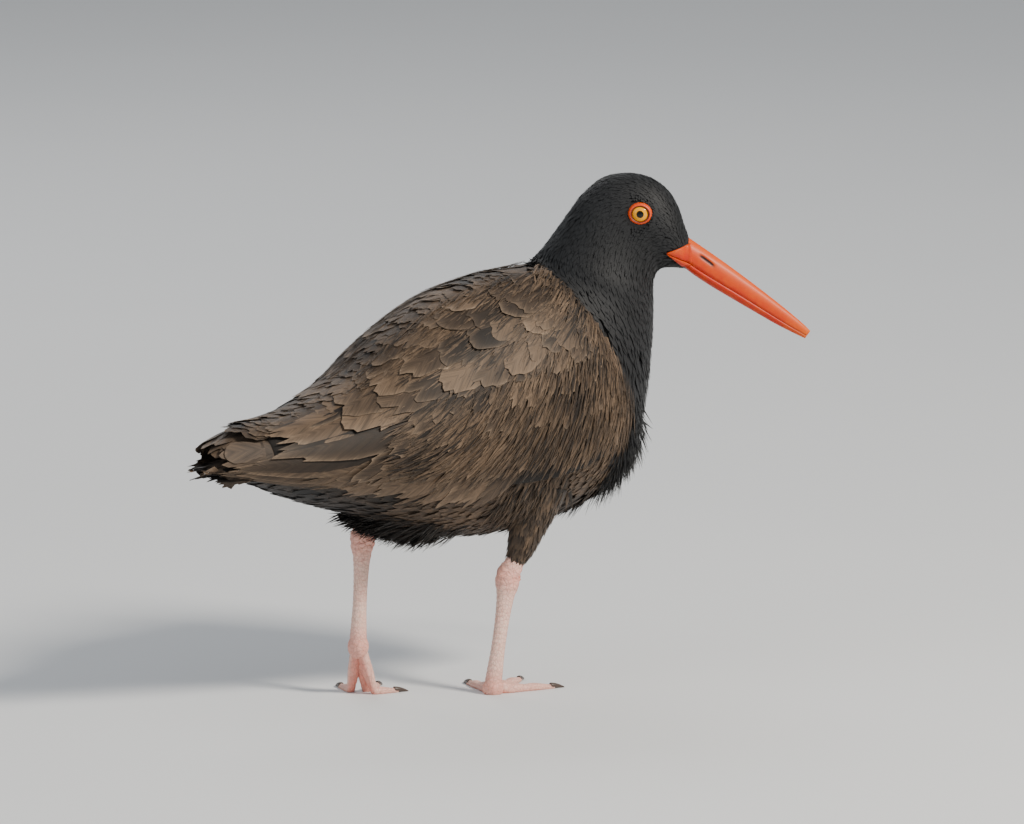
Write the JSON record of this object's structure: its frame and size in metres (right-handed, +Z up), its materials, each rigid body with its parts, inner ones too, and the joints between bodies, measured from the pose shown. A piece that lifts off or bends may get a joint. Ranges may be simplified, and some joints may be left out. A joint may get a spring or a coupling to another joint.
{
  "type": "black oystercatcher",
  "caption": "Life-size still model of a walking black shorebird with a long red bill, yellow eyes and pink legs, its head turned over its right side.",
  "frame": {"origin": "middle of the right foot's sole, on the floor", "axes": "+X is ahead of the body, +Y is the bird's left, +Z is up"},
  "size_m": [0.3156, 0.1199, 0.2432],
  "materials": {
    "plumage_brown": "dark brown feathers with paler worn edges and a soft sheen",
    "plumage_black": "short slate-black feathers, matte",
    "bill_red": "smooth orange-red horn, paler at the tip",
    "eye_yellow": "wet yellow iris round a black pupil",
    "eyelid_red": "bare red-orange skin ring",
    "leg_pink": "pale pink scaled skin, redder at the joints",
    "claw_dark": "dark horn"
  },
  "bodies": {
    "root": {"torso": "plumage_brown", "neck": "plumage_black", "head": "plumage_black", "bill_upper": "bill_red", "bill_lower": "bill_red", "eye_left": "eye_yellow", "eye_right": "eye_yellow", "eyelid_left": "eyelid_red", "eyelid_right": "eyelid_red", "wing_left": "plumage_brown", "wing_right": "plumage_brown", "tail": "plumage_brown", "thigh_left": "plumage_brown", "thigh_right": "plumage_brown", "leg_left": "leg_pink", "leg_right": "leg_pink", "foot_left": "leg_pink", "foot_right": "leg_pink", "claw_left_inner": "claw_dark", "claw_left_middle": "claw_dark", "claw_left_outer": "claw_dark", "claw_right_inner": "claw_dark", "claw_right_middle": "claw_dark", "claw_right_outer": "claw_dark"}
  },
  "joints": []
}
